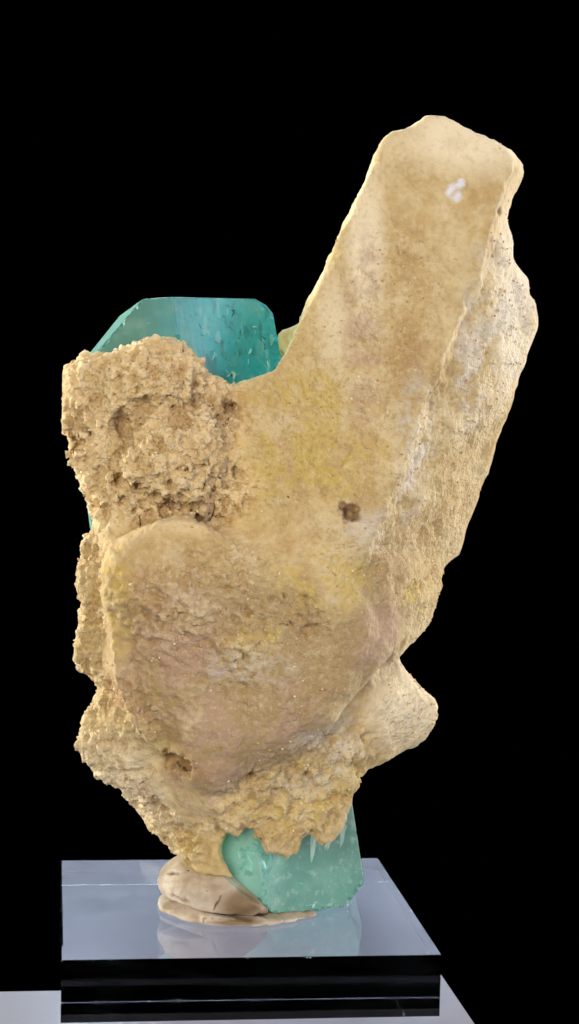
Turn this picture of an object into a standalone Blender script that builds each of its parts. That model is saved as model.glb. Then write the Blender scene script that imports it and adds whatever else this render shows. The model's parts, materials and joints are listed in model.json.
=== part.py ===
"""A rough aquamarine in its feldspar matrix, fixed with putty on a clear square block.

Metres, +Z up. The origin is the centre of the block's underside. The specimen is modelled in
a frame of its own, X across it and Y into it, which an empty turns on the block.
"""

import math

import bmesh
import bpy
from mathutils import Matrix, Vector, noise

MM = 0.001

# Block: a standard square of cast acrylic
BLOCK_SIDE = 60 * MM
BLOCK_HEIGHT = 10 * MM
BLOCK_EDGE = 0.5 * MM

# The specimen is turned a little on its block
SPECIMEN_TURN = math.radians(-7.16)
GAP = 0.3 * MM

# Aquamarine: a six-sided prism, flattened front to back, leaning to the left as it rises
BERYL_WIDTH = 37.0 * MM
BERYL_DEPTH = 37.0 * MM
BERYL_LEAN = math.radians(-10.1)
BERYL_TILT = math.radians(-1.8)
BERYL_TURN = math.radians(8)
BERYL_FOOT = Vector((3.3, 7.8, 7.0)) * MM
BERYL_LENGTH = 130 * MM

# Flat breaks of the aquamarine: a point on each, and the way it faces
BERYL_BREAKS = {
    "top": ((-8.0, 0, 113.6), (-0.06, 0.05, 1.0)),
    "top_left": ((-18.8, 0, 112.9), (-0.77, -0.12, 0.62)),
    "left_side": ((-27.5, 8, 82.0), (-1.0, 0, -0.12)),
    "top_right": ((2.7, 3, 112.6), (0.67, -0.05, 0.74)),
    "right_side": ((4.5, 3, 109.0), (1.0, 0, 0.20)),
    "foot": ((10.0, 0, 10.4), (0.02, 0.03, -1.0)),
    "foot_left": ((1.2, -9.5, 15.8), (-0.645, -0.08, -0.764)),
    "foot_front": ((12.0, -10.4, 10.8), (0.10, -0.75, -0.66)),
    "foot_right": ((21.2, 6, 12.0), (0.80, -0.1, -0.60)),
}

# Matrix: crystals and blocks with flat faces, each the hull of its corners
LONG_CRYSTAL = [
    (22.2, -9, 141.3), (26.3, -8, 142.2), (42.9, -8, 138.0), (45.6, -2, 137.0), (36.0, -11.5, 115.7),
    (22.5, 11, 138.5), (31.0, 12, 140.5), (44.6, 10, 136.0), (21.0, -18.5, 74.0), (12.0, -17, 55.0),
    (-9.5, -17.5, 70.0), (-8.0, 2, 72.0), (7.6, 12, 107.0), (24.0, 12, 62.0), (16.0, 12, 58.0),
]
TIP = [
    (26.4, -7.5, 142.0), (27.6, -7.8, 144.0), (29.4, -7.4, 144.8), (31.6, -7.6, 144.5), (42.4, -8.2, 139.2),
    (45.2, -3, 137.6), (27.4, 8, 141.0), (30.5, 9, 143.2), (43.0, 8, 137.4), (28.0, -9.4, 136.0),
    (42.0, -8.6, 134.0), (30.0, 10, 136.0), (42.0, 9, 133.0),
]
NECK = [
    (43.0, -3, 130.4), (43.6, -3, 126.5), (43.4, -3, 121.2), (44.6, -2.6, 120.8), (39.0, -9.4, 129.0),
    (37.4, -10.2, 120.0), (42.4, 8, 129.5), (43.0, 8, 121.0), (36.0, 9, 119.0), (36.0, 8, 131.0),
    (41.5, -6.8, 124.0), (40.0, -6, 112.0), (36.0, 6, 110.0),
]
RIGHT_TWIN = [
    (40.6, -7.5, 124.5), (45.0, 3, 121.6), (47.2, 3.5, 117.8), (49.1, 4, 113.8), (49.8, 4, 111.5),
    (48.2, 4, 106.4), (37.2, 4, 70.4), (42.5, 13, 121.0), (47.4, 13, 109.0), (35.5, 13, 72.0),
    (24.5, -15.5, 83.0), (21.0, -15, 68.0), (30.0, 14, 112.0), (20.0, 13, 70.0),
]
RIGHT_SHOULDER = [
    (35.3, 3, 69.8), (34.1, 0, 65.8), (31.1, -3, 59.3), (26.4, -9, 54.2), (24.0, -15.5, 72.0),
    (24.5, -15.0, 58.0), (29.0, -10.5, 65.0), (32.0, 14, 68.0), (26.0, 14, 56.0), (16.0, 16, 54.0),
    (14.0, 14, 76.0), (18.0, -18, 74.0), (16.0, -18, 52.0),
]
BACK_RIGHT = [
    (12.0, 8, 84.0), (24.0, 12, 86.0), (27.0, 16, 74.0), (24.0, 22, 66.0), (19.0, 23, 50.0), (26.0, 13, 46.0),
    (17.0, 14, 38.0), (16.0, 20, 76.0), (20.0, 8, 40.0),
]
WEDGE = [
    (26.0, -6, 54.8), (31.4, -3, 49.0), (34.0, -2, 46.4), (34.2, -2, 44.9), (33.2, -1, 41.6),
    (31.6, 0, 39.2), (28.3, -1, 37.3), (21.0, -6, 34.8), (12.0, -13, 36.0), (16.0, -14, 50.0),
    (25.0, 10, 53.0), (31.5, 7, 46.0), (29.5, 8, 40.0), (19.0, 12, 36.0),
]
SMALL_BLOCK = [
    (4.7, 3.5, 109.5), (8.0, 3.5, 110.1), (11.0, 10, 109.0), (5.2, 10, 108.6), (6.0, 3, 98.0),
    (12.0, 3, 96.0), (12.0, 11, 96.0), (6.5, 10, 98.0), (4.6, 3.5, 105.0),
]
FOOT_LEFT = [
    (-22.6, -5, 33.2), (-17.4, -5, 26.8), (-10.9, -6, 20.6), (-7.4, -7, 17.8), (-3.0, -8, 16.0),
    (0.4, -10.0, 15.4), (-4.6, -12.8, 20.0), (-4.6, -13.8, 26.0), (-22.0, -11, 38.0), (-4.0, -17.5, 36.0),
    (-20.0, 9, 38.0), (-21.0, 8, 34.0), (-9.0, 7, 22.0), (-6.0, 2, 40.0),
]
FOOT_RIGHT = [
    (-2.4, -13.2, 26.6), (0.7, -13.2, 25.4), (4.4, -13.0, 23.4), (9.2, -12.2, 21.8), (14.7, -10.6, 22.6),
    (17.2, -9.4, 24.2), (19.0, -8.0, 29.0), (21.2, -5, 34.9), (20.0, -10, 44.0), (2.0, -17.0, 36.0),
    (-8.0, -17, 33.0), (18.5, 10, 40.0), (-4.0, 2, 34.0), (19.5, 5, 32.0), (12.0, -15, 44.0),
]
SADDLE = [
    (-4.0, -13.5, 98.4), (1.6, -12.6, 99.8), (5.0, -11.4, 102.4), (9.0, -12.2, 104.0), (-5.0, -17.0, 78.0),
    (3.0, -17.2, 78.0), (11.0, -14.0, 98.0), (5.4, 0, 100.6), (-4.0, 0, 97.0), (-5.0, 0, 80.0), (6.0, 0, 80.0),
]
FOOT_TIP = [
    (-9.5, -8, 19.4), (-5.8, -11.4, 17.6), (-1.4, -12.2, 15.7), (2.6, -12.4, 15.3), (0.4, -13.2, 18.2),
    (-1.2, -13.6, 20.2), (-2.4, -13.8, 22.4), (-3.0, -14.0, 25.4), (-9.0, -12.6, 26.0), (-3.0, -7, 16.4),
    (0.8, -8, 16.0), (-9.0, -5, 22.0),
]
FLAT_FACE = [
    (-13.4, -16.4, 36.4), (-8.4, -18.2, 37.0), (-4.8, -17.8, 32.6), (-2.6, -14.8, 27.6), (-9.4, -13.4, 27.8),
    (-12.0, -8, 37.0), (0.0, -8, 33.0), (-9.0, -6, 27.0), (-12.6, -15.4, 32.0),
]

# Matrix: rounded masses, each an outline seen from the front, with its front, back and rounding
PITTED_MASS = [
    (-25.9, 103.7), (-29.6, 101.6), (-30.2, 96.5), (-29.6, 91.5), (-27.4, 85.4), (-25.0, 81.0),
    (-24.4, 74.0), (-22.0, 69.0), (-6.0, 69.0), (-4.0, 80.0), (-2.0, 90.0), (-2.6, 98.7),
    (-6.6, 101.4), (-8.6, 104.0), (-11.2, 106.7), (-17.4, 106.5), (-20.4, 104.2),
]
LOBE = [
    (-22.9, 61.0), (-22.4, 69.0), (-19.6, 74.2), (-14.0, 77.2), (-7.8, 78.0), (-2.6, 76.6), (6.0, 77.0),
    (14.0, 76.0), (20.5, 70.0), (23.6, 62.0), (23.0, 55.6), (19.0, 49.4), (15.0, 44.2), (8.7, 39.4),
    (0.8, 34.8), (-7.3, 34.4), (-13.0, 38.6), (-17.4, 43.0), (-20.8, 50.0),
]
LEDGES = [
    (-24.0, 75.5), (-26.7, 73.2), (-26.0, 70.6), (-27.7, 66.8), (-26.2, 62.0), (-27.1, 58.0), (-26.7, 52.4),
    (-23.3, 49.9), (-23.3, 48.0), (-25.2, 44.6), (-26.5, 39.6), (-25.6, 37.0), (-22.8, 34.9), (-20.6, 32.4),
    (-10.0, 30.0), (-8.0, 76.0),
]

# Rounded knobs of the matrix: centre and radii
KNOBS = [
    ((-15.0, -13.5, 99.0), (9.5, 7.0, 7.2)),
    ((-23.2, -9.0, 93.5), (6.4, 8.0, 8.2)),
    ((-11.0, -16.0, 87.5), (9.0, 6.0, 8.6)),
    ((-20.2, -12.5, 82.5), (4.6, 6.2, 5.6)),
    ((-4.2, -18.2, 43.4), (7.6, 5.6, 10.0)),
    ((-10.0, -18.6, 67.5), (13.0, 5.4, 10.5)),
    ((-24.3, -6.0, 66.6), (2.9, 8.6, 2.3)),
    ((-24.2, -5.0, 60.4), (2.6, 8.0, 2.1)),
    ((-24.1, -6.0, 55.0), (2.8, 8.6, 2.4)),
    ((-22.6, -7.0, 41.2), (3.6, 8.0, 2.4)),
]

# Hollows in the matrix: centre and radii
HOLLOWS = [
    ((10.2, -19.6, 80.4), (1.6, 1.6, 1.2)),
    ((-10.4, -20.6, 38.6), (3.4, 2.0, 1.5)),
    ((-7.0, -20.2, 79.6), (2.2, 1.8, 1.2)),
    ((-10.2, -17.0, 96.0), (1.8, 1.6, 1.6)),
    ((-26.8, -15.5, 89.0), (1.8, 1.6, 1.8)),
    ((-20.0, -19.0, 92.0), (2.0, 2.0, 1.6)),
    ((-19.4, -18.2, 83.6), (1.6, 1.6, 2.2)),
    ((-17.6, -19.4, 46.0), (1.8, 1.6, 1.6)),
]

MATRIX_VOXEL, MATRIX_SOFTENING, MATRIX_TRIANGLES = 0.9 * MM, 4, 7600
MASS_FRONT, MASS_BACK, MASS_ROUND, MASS_TURN = -17.0 * MM, 3.0 * MM, 3.6 * MM, 0
LOBE_FRONT, LOBE_BACK, LOBE_ROUND, LOBE_TURN = -22.0 * MM, 1.0 * MM, 9.0 * MM, math.radians(5)
LEDGE_FRONT, LEDGE_BACK, LEDGE_ROUND, LEDGE_TURN = -14.0 * MM, 8.0 * MM, 1.6 * MM, 0

# Roughness of the matrix: grain size and height on flat faces, on lumps and in the pitted mass
FINE_GRAIN, FINE_HEIGHT = 5.0 * MM, 0.28 * MM
LUMP_GRAIN, LUMP_HEIGHT = 11.0 * MM, 0.8 * MM
PIT_GRAIN, PIT_HEIGHT = 3.6 * MM, 1.25 * MM
PIT_FLOOR, PIT_SLOPE = 0.35, 1.6
PIT_CENTRE, PIT_RADII = Vector((-16, -10, 91)) * MM, Vector((15, 16, 17)) * MM
PIT_REACH, PIT_FADE = 1.15, 0.3
LUMP_SHIFT, PIT_SHIFT = Vector((7, 3, 5)), Vector((1, 9, 4))

# Putty: an upper rolled lump on a lower flattened pad, both round the crystal's foot
LUMP_CENTRE, LUMP_RADII = Vector((-1.6, -2.6, 14.4)) * MM, Vector((11.8, 11.4, 5.6)) * MM
PAD_CENTRE, PAD_RADII = Vector((-1.2, -2.4, 10.6)) * MM, Vector((12.2, 11.8, 2.6)) * MM
# The seam between the two slopes down to the right
SEAM_HEIGHT, SEAM_SLOPE = 11.3 * MM, math.radians(8)
PAD_VOXEL, PAD_SOFTENING, PAD_TRIANGLES = 0.35 * MM, 2, 800
STRIP_SIZE, STRIP_PLACE = Vector((8.2, 2.2, 1.5)) * MM, Vector((-1.0, -13.2, 11.1)) * MM
SPREAD_CENTRE, SPREAD_RADII = Vector((9.0, -3.4, 10.3)) * MM, Vector((10.6, 7.6, 0.9)) * MM
SLICE_SIZE = Vector((80, 80, 20)) * MM


def new_collection(name):
    """Make a collection in the scene."""
    group = bpy.data.collections.new(name)
    bpy.context.scene.collection.children.link(group)
    return group


def add_object(name, mesh, group):
    """Put a mesh in the scene as a named object."""
    item = bpy.data.objects.new(name, mesh)
    group.objects.link(item)
    return item


def finish_material(name, colour, roughness, transmission=0.0):
    """A plain material with the part's colour."""
    material = bpy.data.materials.new(name)
    material.use_nodes = True
    shader = material.node_tree.nodes["Principled BSDF"]
    shader.inputs["Base Color"].default_value = (*colour, 1)
    shader.inputs["Roughness"].default_value = roughness
    shader.inputs["Metallic"].default_value = 0
    shader.inputs["Transmission Weight"].default_value = transmission
    return material


def mesh_from(build, name):
    """Turn what a bmesh function builds into a mesh."""
    shape = bmesh.new()
    build(shape)
    bmesh.ops.recalc_face_normals(shape, faces=shape.faces)
    mesh = bpy.data.meshes.new(name)
    shape.to_mesh(mesh)
    shape.free()
    return mesh


def hull(corners):
    """The flat-faced block whose corners are given in millimetres."""
    def build(shape):
        points = [shape.verts.new(Vector(corner) * MM) for corner in corners]
        bmesh.ops.convex_hull(shape, input=points)
        inner = [vertex for vertex in shape.verts if not vertex.link_faces]
        bmesh.ops.delete(shape, geom=inner, context="VERTS")
    return mesh_from(build, "hull")


def ball(centre, radii, detail=4):
    """An ellipsoid, in metres."""
    def build(shape):
        place = Matrix.Translation(centre) @ Matrix.Diagonal((*radii, 1))
        bmesh.ops.create_icosphere(shape, subdivisions=detail, radius=1, matrix=place)
    return mesh_from(build, "ball")


def box(size, place):
    """A block, in metres, centred on its place."""
    def build(shape):
        bmesh.ops.create_cube(shape, size=1, matrix=Matrix.Translation(place) @ Matrix.Diagonal((*size, 1)))
    return mesh_from(build, "box")


def outline_slab(outline, front, back, rounding, turn):
    """A slab from an outline in X and Z, in millimetres, with rounded edges."""
    curve = bpy.data.curves.new("outline", "CURVE")
    curve.dimensions = "2D"
    curve.fill_mode = "BOTH"
    curve.extrude = (back - front) / 2 - rounding
    curve.bevel_depth = rounding
    curve.offset = -rounding
    curve.bevel_resolution = 2
    spline = curve.splines.new("POLY")
    spline.points.add(len(outline) - 1)
    for point, (x, z) in zip(spline.points, outline):
        point.co = (x * MM, z * MM, 0, 1)
    spline.use_cyclic_u = True
    item = add_object("outline", curve, guides)
    bpy.context.view_layer.update()
    mesh = bpy.data.meshes.new_from_object(item.evaluated_get(bpy.context.evaluated_depsgraph_get()))
    bpy.data.objects.remove(item)
    upright = Matrix.Translation((0, (front + back) / 2, 0)) @ Matrix.Rotation(math.radians(90), 4, "X")
    mesh.transform(Matrix.Rotation(turn, 4, "Z") @ upright)
    return mesh_from(lambda shape: weld(shape, mesh), "slab")


def weld(shape, mesh):
    """Read a mesh and merge its doubled points."""
    shape.from_mesh(mesh)
    bmesh.ops.remove_doubles(shape, verts=shape.verts, dist=0.01 * MM)


def cut_flat(shape, point, facing):
    """Cut away what lies beyond a plane, and close the cut."""
    cut = bmesh.ops.bisect_plane(
        shape, geom=shape.verts[:] + shape.edges[:] + shape.faces[:],
        plane_co=point, plane_no=Vector(facing).normalized(), clear_outer=True)
    rim = [item for item in cut["geom_cut"] if isinstance(item, bmesh.types.BMEdge)]
    bmesh.ops.contextual_create(shape, geom=rim)


def beryl_mesh(grow=0.0):
    """The aquamarine, or a copy of it that is larger by grow all round."""
    across = (BERYL_WIDTH / 2 + grow) / math.cos(math.radians(30))
    deep = BERYL_DEPTH / 2 + grow / math.cos(math.radians(30))

    def build(shape):
        place = (Matrix.Translation(BERYL_FOOT) @ Matrix.Rotation(BERYL_LEAN, 4, "Y")
                 @ Matrix.Rotation(BERYL_TILT, 4, "X")
                 @ Matrix.Diagonal((across, deep, 1, 1)) @ Matrix.Rotation(BERYL_TURN, 4, "Z"))
        bmesh.ops.create_cone(shape, cap_ends=True, segments=6, radius1=1, radius2=1,
                              depth=BERYL_LENGTH * 2, matrix=place)
        for point, facing in BERYL_BREAKS.values():
            outward = Vector(facing).normalized()
            cut_flat(shape, Vector(point) * MM + outward * grow, outward)
    return mesh_from(build, "beryl")


def join(meshes, name, group):
    """Put several closed shapes in one object."""
    shape = bmesh.new()
    for mesh in meshes:
        shape.from_mesh(mesh)
    mesh = bpy.data.meshes.new(name)
    shape.to_mesh(mesh)
    shape.free()
    return add_object(name, mesh, group)


def apply_modifiers(item):
    """Replace an object's mesh with what its modifiers make of it."""
    bpy.context.view_layer.update()
    mesh = bpy.data.meshes.new_from_object(item.evaluated_get(bpy.context.evaluated_depsgraph_get()))
    item.modifiers.clear()
    item.data = mesh


def melt(item, voxel):
    """Grow overlapping shapes together in one skin."""
    skin = item.modifiers.new("melt", "REMESH")
    skin.mode = "VOXEL"
    skin.voxel_size = voxel
    apply_modifiers(item)


def soften(item, turns):
    """Round off the steps of the voxels."""
    relax = item.modifiers.new("soften", "SMOOTH")
    relax.factor = 0.5
    relax.iterations = turns
    apply_modifiers(item)


def thin_out(item, triangles):
    """Leave about so many triangles, fewest where the skin is flat."""
    thin = item.modifiers.new("thin", "DECIMATE")
    thin.ratio = triangles / (2 * len(item.data.polygons))
    apply_modifiers(item)


def cut_away(item, cutter_mesh, name):
    """Take a closed shape out of an object."""
    cutter = add_object(name, cutter_mesh, cutters)
    cutter.parent = item.parent
    cutter.hide_render = True
    cutter.display_type = "WIRE"
    cut = item.modifiers.new(name, "BOOLEAN")
    cut.operation = "DIFFERENCE"
    cut.solver = "EXACT"
    cut.object = cutter


def pit_share(place):
    """1 in the middle of the pitted mass, 0 outside it."""
    offset = place - PIT_CENTRE
    reach = Vector((offset.x / PIT_RADII.x, offset.y / PIT_RADII.y, offset.z / PIT_RADII.z)).length
    return min(1.0, max(0.0, (PIT_REACH - reach) / PIT_FADE))


def roughen(mesh):
    """Raise lumps and grain along the skin's normals, deepest in the pitted mass."""
    raised = []
    for vertex in mesh.vertices:
        place = vertex.co
        pitted = pit_share(place)
        fine = noise.noise(place / FINE_GRAIN) * FINE_HEIGHT
        lump = noise.noise(place / LUMP_GRAIN + LUMP_SHIFT) * LUMP_HEIGHT
        ridge = abs(noise.noise(place / PIT_GRAIN + PIT_SHIFT))
        pit = (PIT_SLOPE * ridge - PIT_FLOOR) * PIT_HEIGHT
        raised.append(place + vertex.normal * (fine + lump * (1 - pitted) + pit * pitted))
    for vertex, place in zip(mesh.vertices, raised):
        vertex.co = place


def keep_largest(item):
    """Keep the largest body of a mesh and drop crumbs that a cut left."""
    shape = bmesh.new()
    shape.from_mesh(item.data)
    waiting = set(shape.verts)
    bodies = []
    while waiting:
        reached = [waiting.pop()]
        body = set(reached)
        while reached:
            vertex = reached.pop()
            fresh = {edge.other_vert(vertex) for edge in vertex.link_edges} - body
            body |= fresh
            reached.extend(fresh)
        waiting -= body
        bodies.append(body)
    bodies.sort(key=len)
    crumbs = [vertex for body in bodies[:-1] for vertex in body]
    bmesh.ops.delete(shape, geom=crumbs, context="VERTS")
    shape.to_mesh(item.data)
    shape.free()


def make_block(group):
    """The clear acrylic block, with small polished bevels."""
    place = Vector((0, 0, BLOCK_HEIGHT / 2))
    block = add_object("acrylic_block", box((BLOCK_SIDE, BLOCK_SIDE, BLOCK_HEIGHT), place), group)
    bevel = block.modifiers.new("edges", "BEVEL")
    bevel.width = BLOCK_EDGE
    bevel.segments = 2
    block.data.materials.append(finish_material("clear_acrylic", (0.86, 0.90, 0.95), 0.05, 0.9))


def make_beryl(group, turned):
    """The aquamarine prism."""
    beryl = add_object("aquamarine_crystal", beryl_mesh(), group)
    beryl.parent = turned
    beryl.data.materials.append(finish_material("aquamarine", (0.10, 0.42, 0.40), 0.2, 0.6))


def make_matrix(group, turned):
    """The feldspar that grew over the aquamarine."""
    blocks = [hull(corners) for corners in (
        LONG_CRYSTAL, TIP, NECK, RIGHT_TWIN, RIGHT_SHOULDER, BACK_RIGHT, WEDGE, SMALL_BLOCK, SADDLE,
        FOOT_LEFT, FOOT_RIGHT, FOOT_TIP, FLAT_FACE)]
    masses = [
        outline_slab(PITTED_MASS, MASS_FRONT, MASS_BACK, MASS_ROUND, MASS_TURN),
        outline_slab(LOBE, LOBE_FRONT, LOBE_BACK, LOBE_ROUND, LOBE_TURN),
        outline_slab(LEDGES, LEDGE_FRONT, LEDGE_BACK, LEDGE_ROUND, LEDGE_TURN),
    ]
    knobs = [ball(Vector(centre) * MM, Vector(radii) * MM, 3) for centre, radii in KNOBS]
    matrix = join(blocks + masses + knobs, "feldspar_matrix", group)
    matrix.parent = turned
    melt(matrix, MATRIX_VOXEL)
    soften(matrix, MATRIX_SOFTENING)
    roughen(matrix.data)
    thin_out(matrix, MATRIX_TRIANGLES)
    for number, (centre, radii) in enumerate(HOLLOWS):
        cut_away(matrix, ball(Vector(centre) * MM, Vector(radii) * MM, 2), f"hollow_{number}")
    cut_away(matrix, beryl_mesh(GAP), "beryl_bed")
    cut_away(matrix, ball(LUMP_CENTRE, LUMP_RADII + Vector((GAP, GAP, GAP)), 4), "putty_bed")
    apply_modifiers(matrix)
    keep_largest(matrix)
    matrix.data.materials.append(finish_material("feldspar", (0.55, 0.42, 0.24), 0.85))


def make_putty(group, turned):
    """The two layers of mounting putty round the crystal's foot."""
    finish = finish_material("mounting_putty", (0.56, 0.47, 0.36), 0.7)
    lump = add_object("putty_lump", mesh_from(build_lump, "lump"), group)
    lump.parent = turned
    cut_away(lump, beryl_mesh(GAP), "beryl_in_lump")
    lump.data.materials.append(finish)

    parts = [ball(PAD_CENTRE, PAD_RADII, 4), ball(SPREAD_CENTRE, SPREAD_RADII, 3), box(STRIP_SIZE, STRIP_PLACE)]
    pad = join(parts, "putty_pad", group)
    pad.parent = turned
    melt(pad, PAD_VOXEL)
    soften(pad, PAD_SOFTENING)
    thin_out(pad, PAD_TRIANGLES)
    half_height = SLICE_SIZE.z / 2
    above_seam = box(SLICE_SIZE, (0, 0, half_height))
    above_seam.transform(Matrix.Translation((0, 0, SEAM_HEIGHT)) @ Matrix.Rotation(SEAM_SLOPE, 4, "Y"))
    cut_away(pad, box(SLICE_SIZE, (0, 0, BLOCK_HEIGHT + GAP - half_height)), "block_top")
    cut_away(pad, above_seam, "lump_underside")
    cut_away(pad, beryl_mesh(GAP), "beryl_in_pad")
    apply_modifiers(pad)
    keep_largest(pad)
    pad.data.materials.append(finish)


def build_lump(shape):
    """A ball of putty, flat below and squeezed by the crystal's broken foot."""
    place = Matrix.Translation(LUMP_CENTRE) @ Matrix.Diagonal((*LUMP_RADII, 1))
    bmesh.ops.create_icosphere(shape, subdivisions=4, radius=1, matrix=place)
    down = Matrix.Rotation(SEAM_SLOPE, 3, "Y") @ Vector((0, 0, -1))
    cut_flat(shape, Vector((0, 0, SEAM_HEIGHT)) - down * GAP, down)
    cut_flat(shape, (0, 0, BLOCK_HEIGHT + GAP), (0, 0, -1))
    point, facing = BERYL_BREAKS["foot_left"]
    outward = Vector(facing).normalized()
    cut_flat(shape, Vector(point) * MM + outward * GAP, -outward)


for item in list(bpy.data.objects):
    bpy.data.objects.remove(item)

part = new_collection("rough_aquamarine")
cutters = new_collection("cutters")
guides = new_collection("guides")

specimen = bpy.data.objects.new("specimen_turn", None)
specimen.rotation_euler.z = SPECIMEN_TURN
part.objects.link(specimen)

make_block(part)
make_beryl(part, specimen)
make_matrix(part, specimen)
make_putty(part, specimen)
bpy.context.view_layer.update()
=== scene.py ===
# A rough aquamarine in its feldspar, bedded in putty on a clear block.
# For Blender 4.5. Metres, +Z up. Places in the dictionaries are millimetres on the specimen:
# x across it, y into it, z up from the underside of the block.
import json
import math
import random

import bpy
import numpy as np
from mathutils import Matrix, Vector, noise
from mathutils.bvhtree import BVHTree

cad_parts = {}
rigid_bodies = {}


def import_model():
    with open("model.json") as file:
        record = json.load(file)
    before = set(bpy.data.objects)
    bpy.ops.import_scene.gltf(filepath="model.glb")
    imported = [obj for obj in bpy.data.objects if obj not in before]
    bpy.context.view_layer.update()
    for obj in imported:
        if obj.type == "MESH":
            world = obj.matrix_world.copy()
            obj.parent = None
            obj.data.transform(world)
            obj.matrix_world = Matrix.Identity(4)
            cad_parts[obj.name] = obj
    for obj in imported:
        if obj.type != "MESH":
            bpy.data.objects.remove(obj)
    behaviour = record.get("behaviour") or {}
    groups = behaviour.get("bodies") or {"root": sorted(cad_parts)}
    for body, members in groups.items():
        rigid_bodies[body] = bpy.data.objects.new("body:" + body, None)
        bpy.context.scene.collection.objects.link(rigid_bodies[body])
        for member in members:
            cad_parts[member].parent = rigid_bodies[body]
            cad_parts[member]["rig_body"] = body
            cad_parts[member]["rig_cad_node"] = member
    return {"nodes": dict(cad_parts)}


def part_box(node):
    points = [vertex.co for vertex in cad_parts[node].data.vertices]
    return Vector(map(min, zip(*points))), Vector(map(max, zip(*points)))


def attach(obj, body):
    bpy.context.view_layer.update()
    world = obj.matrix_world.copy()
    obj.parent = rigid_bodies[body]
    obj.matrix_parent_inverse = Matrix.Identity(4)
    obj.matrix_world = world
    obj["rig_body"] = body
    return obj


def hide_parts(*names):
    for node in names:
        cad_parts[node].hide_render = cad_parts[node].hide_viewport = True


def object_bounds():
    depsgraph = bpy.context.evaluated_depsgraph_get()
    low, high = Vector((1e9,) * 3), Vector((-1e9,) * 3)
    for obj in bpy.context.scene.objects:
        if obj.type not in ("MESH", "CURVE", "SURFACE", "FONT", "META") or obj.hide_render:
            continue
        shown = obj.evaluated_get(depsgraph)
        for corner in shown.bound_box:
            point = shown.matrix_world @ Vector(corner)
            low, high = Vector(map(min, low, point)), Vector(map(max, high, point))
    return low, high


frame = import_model()
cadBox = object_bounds()
berylFaces = BVHTree.FromObject(frame["nodes"]["aquamarine_crystal"], bpy.context.evaluated_depsgraph_get())
print("frame loaded")

mm = 0.001
specimenTurn = math.radians(-7.16)       # the specimen sits a little turned on its block
toWorld = Matrix.Rotation(specimenTurn, 4, "Z")
turnBack = np.array(Matrix.Rotation(-specimenTurn, 3, "Z"))
scene = bpy.context.scene


def hexColour(code):
    # an sRGB hex colour as the linear values a shader takes
    parts = [int(code[i:i + 2], 16) / 255 for i in (1, 3, 5)]
    return tuple(c / 12.92 if c <= 0.04045 else ((c + 0.055) / 1.055) ** 2.4 for c in parts) + (1.0,)


def spot(x, y, z):
    # a place on the specimen, in the world
    return toWorld @ (Vector((x, y, z)) * mm)


def addNode(tree, kind, sockets=None, **settings):
    # adds a node: sockets takes values or other nodes' outputs, stops fills a colour ramp
    node = tree.nodes.new(kind)
    for name, value in settings.items():
        if name == "stops":
            ramp = node.color_ramp
            while len(ramp.elements) < len(value):
                ramp.elements.new(0.5)
            for element, (position, code) in zip(ramp.elements, value):
                element.position = position
                element.color = hexColour(code)
        else:
            setattr(node, name, value)
    for name, value in (sockets or {}).items():
        if isinstance(value, bpy.types.NodeSocket):
            tree.links.new(value, node.inputs[name])
        else:
            node.inputs[name].default_value = value
    return node


def newMaterial(name):
    # an empty node material and its output node
    material = bpy.data.materials.new(name)
    material.use_nodes = True
    material.node_tree.nodes.clear()
    return material, material.node_tree, addNode(material.node_tree, "ShaderNodeOutputMaterial")


def selectOnly(item):
    bpy.ops.object.select_all(action="DESELECT")
    item.select_set(True)
    bpy.context.view_layer.objects.active = item


def copyNode(node, name):
    # a loose copy of a CAD node with its doubled points merged
    item = frame["nodes"][node].copy()
    item.data = frame["nodes"][node].data.copy()
    item.name = item.data.name = name
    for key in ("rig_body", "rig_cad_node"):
        del item[key]
    scene.collection.objects.link(item)
    item.parent = None
    item.matrix_world = Matrix.Identity(4)
    item.data.materials.clear()
    selectOnly(item)
    bpy.ops.object.mode_set(mode="EDIT")
    bpy.ops.mesh.select_all(action="SELECT")
    bpy.ops.mesh.remove_doubles(threshold=0.01 * mm)
    bpy.ops.object.mode_set(mode="OBJECT")
    return item


def applyModifier(item, kind, **settings):
    # adds one modifier and applies it
    modifier = item.modifiers.new(kind.lower(), kind)
    for name, value in settings.items():
        setattr(modifier, name, value)
    selectOnly(item)
    bpy.ops.object.modifier_apply(modifier=modifier.name)


def specimenPoints(item):
    # all points of a mesh in the specimen's millimetres
    points = np.empty(len(item.data.vertices) * 3)
    item.data.vertices.foreach_get("co", points)
    return points.reshape(-1, 3) / mm @ turnBack.T


def near(points, blobs, soft=0.4):
    # 1 inside any of the soft balls (x, y, z, radius x, radius y, radius z), 0 well outside them
    share = np.zeros(len(points))
    for blob in blobs:
        reach = np.sqrt((((points - blob[:3]) / blob[3:]) ** 2).sum(axis=1))
        share = np.maximum(share, np.clip((1 + soft / 2 - reach) / soft, 0, 1))
    return share * share * (3 - 2 * share)


def nearLine(points, line, width, wander=0.0):
    # 1 on a line through places on the specimen, fading to 0 at its width; it may wander a little
    share = np.zeros(len(points))
    if wander:
        points = points + np.array([noise.noise_vector(Vector(point) / 1.3) for point in points]) * wander
    for start, end in zip(line, line[1:]):
        start, end = np.array(start, float), np.array(end, float)
        along = end - start
        part = np.clip((points - start) @ along / (along @ along), 0, 1)
        away = np.linalg.norm(points - start - part[:, None] * along, axis=1)
        share = np.maximum(share, np.clip(1 - away / width, 0, 1))
    return share * share * (3 - 2 * share)


def groupFrom(item, name, weights):
    # a vertex group with one weight for each point
    group = item.vertex_groups.new(name=name)
    for index in np.nonzero(weights > 0.01)[0]:
        group.add([int(index)], float(weights[index]), "REPLACE")
    return group


def pointsOf(item):
    points = np.empty(len(item.data.vertices) * 3)
    item.data.vertices.foreach_get("co", points)
    return points.reshape(-1, 3)


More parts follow.
